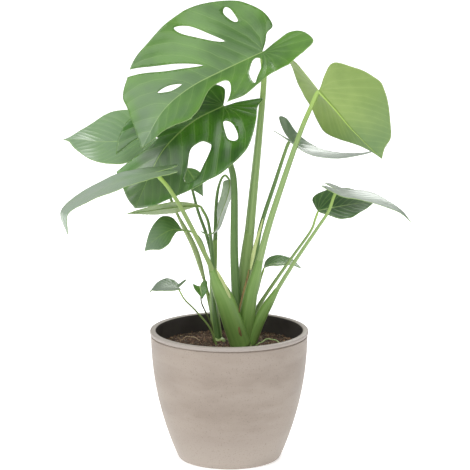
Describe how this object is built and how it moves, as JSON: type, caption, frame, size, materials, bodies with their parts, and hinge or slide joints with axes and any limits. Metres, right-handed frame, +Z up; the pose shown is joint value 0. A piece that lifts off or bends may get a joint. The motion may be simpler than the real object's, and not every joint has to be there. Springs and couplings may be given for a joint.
{
  "type": "potted monstera plant",
  "caption": "Potted monstera with split and heart-shaped leaves on upright stalks, in a round tapered ceramic pot filled with soil.",
  "frame": {"origin": "centre of the pot's flat base", "axes": "+Z up, along the pot's axis; -Y is the front, the side the plant is seen from; +X to the right"},
  "size_m": [0.4125, 0.2307, 0.5458],
  "materials": {
    "pot_ceramic": "satin speckled glaze, dark inside",
    "potting_soil": "rough, crumbly, fibrous",
    "leaf_green": "glossy upper side, matt light underside",
    "stalk_green": "satin",
    "sheath_green": "satin, with dry brown edges",
    "root": "matt",
    "fibre": "matt"
  },
  "bodies": {
    "root": {"pot": "pot_ceramic", "soil": "potting_soil", "main_crown": "sheath_green", "side_crown": "sheath_green", "top_leaf": "leaf_green", "top_leaf_stalk": "stalk_green", "lower_split_leaf": "leaf_green", "lower_split_leaf_stalk": "stalk_green", "left_rear_leaf": "leaf_green", "left_rear_leaf_stalk": "stalk_green", "left_front_leaf": "leaf_green", "left_front_leaf_stalk": "stalk_green", "narrow_left_leaf": "leaf_green", "narrow_left_leaf_stalk": "stalk_green", "small_left_leaf": "leaf_green", "small_left_leaf_stalk": "stalk_green", "folded_leaf": "leaf_green", "folded_leaf_stalk": "stalk_green", "right_upper_leaf": "leaf_green", "right_upper_leaf_stalk": "stalk_green", "right_middle_leaf": "leaf_green", "right_middle_leaf_stalk": "stalk_green", "right_front_leaf": "leaf_green", "right_front_leaf_stalk": "stalk_green", "right_rear_leaf": "leaf_green", "right_rear_leaf_stalk": "stalk_green", "small_right_leaf": "leaf_green", "small_right_leaf_stalk": "stalk_green", "young_left_leaf": "leaf_green", "young_left_leaf_stalk": "stalk_green", "bud_leaf": "leaf_green", "bud_leaf_stalk": "stalk_green", "hidden_rear_leaf": "leaf_green", "hidden_rear_leaf_stalk": "stalk_green", "root_loop": "root", "soil_fibre": "fibre"}
  },
  "joints": []
}
